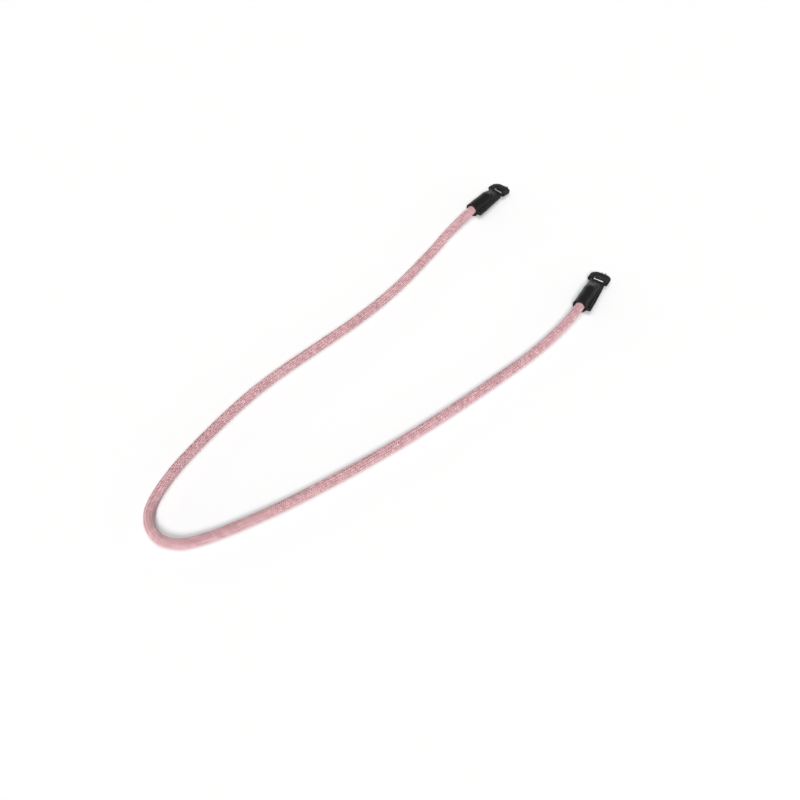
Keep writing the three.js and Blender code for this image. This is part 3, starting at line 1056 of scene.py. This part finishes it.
def model_guard(side, guard, ring):
    """One leather tab with two slits: the strip between them passes under the ring's bar. The tab
    slopes with the ring and its tail lies level."""
    steps_x = [
        *np.linspace(guard.tail, guard.root, 6)[:-1],
        *(guard.root + guard.root_round * (1 - np.cos(np.linspace(0, math.pi / 2, 6)))),
        -LINE_BEHIND,
        *np.linspace(-guard.slit_half, guard.slit_half, 19),
        *(guard.slit_half + (guard.tip - guard.slit_half) * np.sin(np.linspace(0, math.pi / 2, 9)))[1:],
    ]
    inner = [*INNER_LINES, guard.tail_half, guard.slit_in]
    outer = [guard.slit_out, *OUTER_LINES, guard.half_width]
    steps_y = [*(-y for y in reversed(inner[1:] + outer)), *inner, *outer]
    made, row, column = add_blank(f"{side}_leather_guard", len(steps_x) - 1, len(steps_y) - 1)
    x = np.array(steps_x)[row]
    y = np.array(steps_y)[column]
    width = guard_half_width(guard, x)
    slit = np.minimum(guard.slit_out, 0.6 * width)
    side_share = (np.abs(y) - guard.slit_out) / (guard.half_width - guard.slit_out)
    outside = np.abs(y) > guard.slit_out - HAIR
    spread = np.where(outside, slit + (width - slit) * side_share, np.abs(y) * slit / guard.slit_out)
    y = np.sign(y) * np.where(x < guard.root - HAIR, np.abs(y), spread)
    move_corners(made, np.column_stack([x, y, np.zeros_like(x)]))
    cut_away(
        made,
        lambda c: (c.x < guard.root and abs(c.y) > guard.tail_half)
        or (abs(c.x) < guard.slit_half and guard.slit_in < abs(c.y) < guard.slit_out),
    )
    places = corners_of(made)
    x, y, _ = places.T
    tail = np.minimum(x - guard.root, 0.0)
    places[:, 2] = guard_height(guard, ring, x, y) - tail * math.tan(tab_pitch(ring))
    move_corners(made, places)
    return made


class STRAP_OT_guards(bpy.types.Operator):
    """Model the two leather ring guards"""

    bl_idname = "strap.guards"
    bl_label = "Ring guards"

    def execute(self, context):
        scene = context.scene
        guard, ring = scene.strap_guard, scene.strap_ring
        for side in FITTINGS:
            made = model_guard(side, guard, ring)
            coat(made, *leathers())
            modify(made, "SOLIDIFY", thickness=guard.thickness, offset=0.0, material_offset_rim=1)
            face_outwards(made)
            round_edges(made, width=0.45 * MM)
            modify(made, "SUBSURF", levels=1, render_levels=1)
            smooth(made, 60)
            made.matrix_world = tab_place(side, ring, scene.strap_sleeve)
            settle(made)
            finish_piece(made, f"{side}_ring_guard")
        return {"FINISHED"}


# Rings


# Steps round each bend of the wire
BEND_STEPS = 14


def ring_corners(ring):
    """The triangle's corners before rounding, each with its rounding."""
    side = ring.half_bar + ring.corner_round
    return [
        (Vector((0.0, -side, 0.0)), ring.corner_round),
        (Vector((ring.reach + ring.nose_round, 0.0, 0.0)), ring.nose_round),
        (Vector((0.0, side, 0.0)), ring.corner_round),
    ]


def ring_line(ring):
    """The wire's centreline: straight sides and round corners."""
    corners = ring_corners(ring)
    points = []
    for i, (here, rounding) in enumerate(corners):
        back = (corners[i - 1][0] - here).normalized()
        on = (corners[(i + 1) % 3][0] - here).normalized()
        half = back.angle(on) / 2
        centre = here + (back + on).normalized() * rounding / math.sin(half)
        spoke = here + back * rounding / math.tan(half) - centre
        turn = math.pi - 2 * half
        for step in range(BEND_STEPS + 1):
            points.append(centre + Matrix.Rotation(turn * step / BEND_STEPS, 3, "Z") @ spoke)
    return points


def model_ring(side, ring):
    """Round steel wire bent to a triangle and closed."""
    made = draw_line(f"{side}_steel_ring", np.array(ring_line(ring)))
    made.data.splines[0].use_cyclic_u = True
    made.data.bevel_depth = ring.wire_radius
    made.data.bevel_resolution = 6
    pick(made)
    bpy.ops.object.convert(target="MESH")
    made = added(f"{side}_steel_ring")
    face_outwards(made)
    bpy.ops.object.shade_smooth()
    return made


class STRAP_OT_rings(bpy.types.Operator):
    """Model the two steel triangle rings"""

    bl_idname = "strap.rings"
    bl_label = "Steel rings"

    def execute(self, context):
        scene = context.scene
        steel = steel_look()
        for side in FITTINGS:
            made = model_ring(side, scene.strap_ring)
            coat(made, steel)
            made.matrix_world = tab_place(side, scene.strap_ring, scene.strap_sleeve)
            settle(made)
            finish_piece(made, f"{side}_ring")
        return {"FINISHED"}


# Stage


# The room's walls near the horizon, how much dimmer its ceiling is, and where it dims
WALL_STRENGTH = 1.02
CEILING_DIMMER = 0.83
CEILING_EDGE = (0.1, 0.36)


def soft_sun(name, heading, height, spread, strength, tint):
    """A far, wide studio light: even over the whole floor, with soft shadows. Angles are in degrees."""
    light = bpy.data.lights.new(name, "SUN")
    light.angle = math.radians(spread)
    light.energy = strength
    light.color = tint
    turn = Matrix.Rotation(math.radians(heading), 4, "Z")
    linked(name, light).matrix_world = turn @ Matrix.Rotation(math.radians(90 - height), 4, "X")


def white_room():
    """The light from all round: bright walls near the horizon under a dimmer ceiling."""
    world = bpy.data.worlds.new("white_room")
    nodes = Nodes(world)
    ways = nodes.node("ShaderNodeTexCoord", {}, {}).outputs["Object"]
    split = nodes.node("ShaderNodeSeparateXYZ", {}, {0: ways})
    height = Value(nodes, split.outputs[2])
    strength = WALL_STRENGTH - height.ramp(*CEILING_EDGE) * CEILING_DIMMER
    sky = nodes.node("ShaderNodeBackground", {}, {"Color": (1, 1, 1, 1), "Strength": strength})
    nodes.node("ShaderNodeOutputWorld", {}, {"Surface": sky.outputs[0]})
    return world


class STRAP_OT_stage(bpy.types.Operator):
    """Set the camera, the pale floor and the soft lights"""

    bl_idname = "strap.stage"
    bl_label = "Stage"

    def execute(self, context):
        scene = context.scene
        stage = scene.strap_stage
        camera = linked("camera", bpy.data.cameras.new("camera"))
        camera.data.lens = stage.lens
        camera.data.sensor_width = 36.0
        camera.location = stage.camera_place
        camera.rotation_euler = (math.pi / 2 - stage.camera_down, 0.0, stage.camera_turn)
        scene.camera = camera
        bpy.ops.mesh.primitive_plane_add(size=2 * stage.floor_half)
        floor = added("floor")
        coat(floor, paper_look(stage))
        soft_sun("key", heading=40, height=39, spread=18, strength=2.5, tint=(1.0, 0.985, 0.97))
        soft_sun("overhead", heading=20, height=82, spread=46, strength=1.42, tint=(0.98, 0.99, 1.0))
        scene.world = white_room()
        scene.view_settings.view_transform = "Standard"
        return {"FINISHED"}


class STRAP_PT_panel(bpy.types.Panel):
    """Lists the pieces of the strap"""

    bl_idname = "STRAP_PT_panel"
    bl_label = "Rope Strap"
    bl_space_type = "VIEW_3D"
    bl_region_type = "UI"
    bl_category = "Rope Strap"

    def draw(self, context):
        for operator in OPERATORS:
            self.layout.operator(operator.bl_idname)
        for name in SIZES:
            sizes = getattr(context.scene, name)
            box = self.layout.box()
            for prop in sizes.bl_rna.properties:
                if prop.identifier in sizes.__annotations__:
                    box.prop(sizes, prop.identifier)


SIZES = {
    "strap_stage": StageSizes,
    "strap_rope": RopeSizes,
    "strap_sleeve": SleeveSizes,
    "strap_guard": GuardSizes,
    "strap_ring": RingSizes,
}
OPERATORS = (STRAP_OT_stage, STRAP_OT_rope, STRAP_OT_sleeves, STRAP_OT_guards, STRAP_OT_rings)


def register():
    for made in (*SIZES.values(), *OPERATORS, STRAP_PT_panel):
        bpy.utils.register_class(made)
    for name, sizes in SIZES.items():
        setattr(bpy.types.Scene, name, PointerProperty(type=sizes))


def unregister():
    for name in SIZES:
        delattr(bpy.types.Scene, name)
    for made in reversed((*SIZES.values(), *OPERATORS, STRAP_PT_panel)):
        bpy.utils.unregister_class(made)


def main():
    register()
    for operator in OPERATORS:
        group, name = operator.bl_idname.split(".")
        getattr(getattr(bpy.ops, group), name)()


if __name__ == "__main__":
    main()
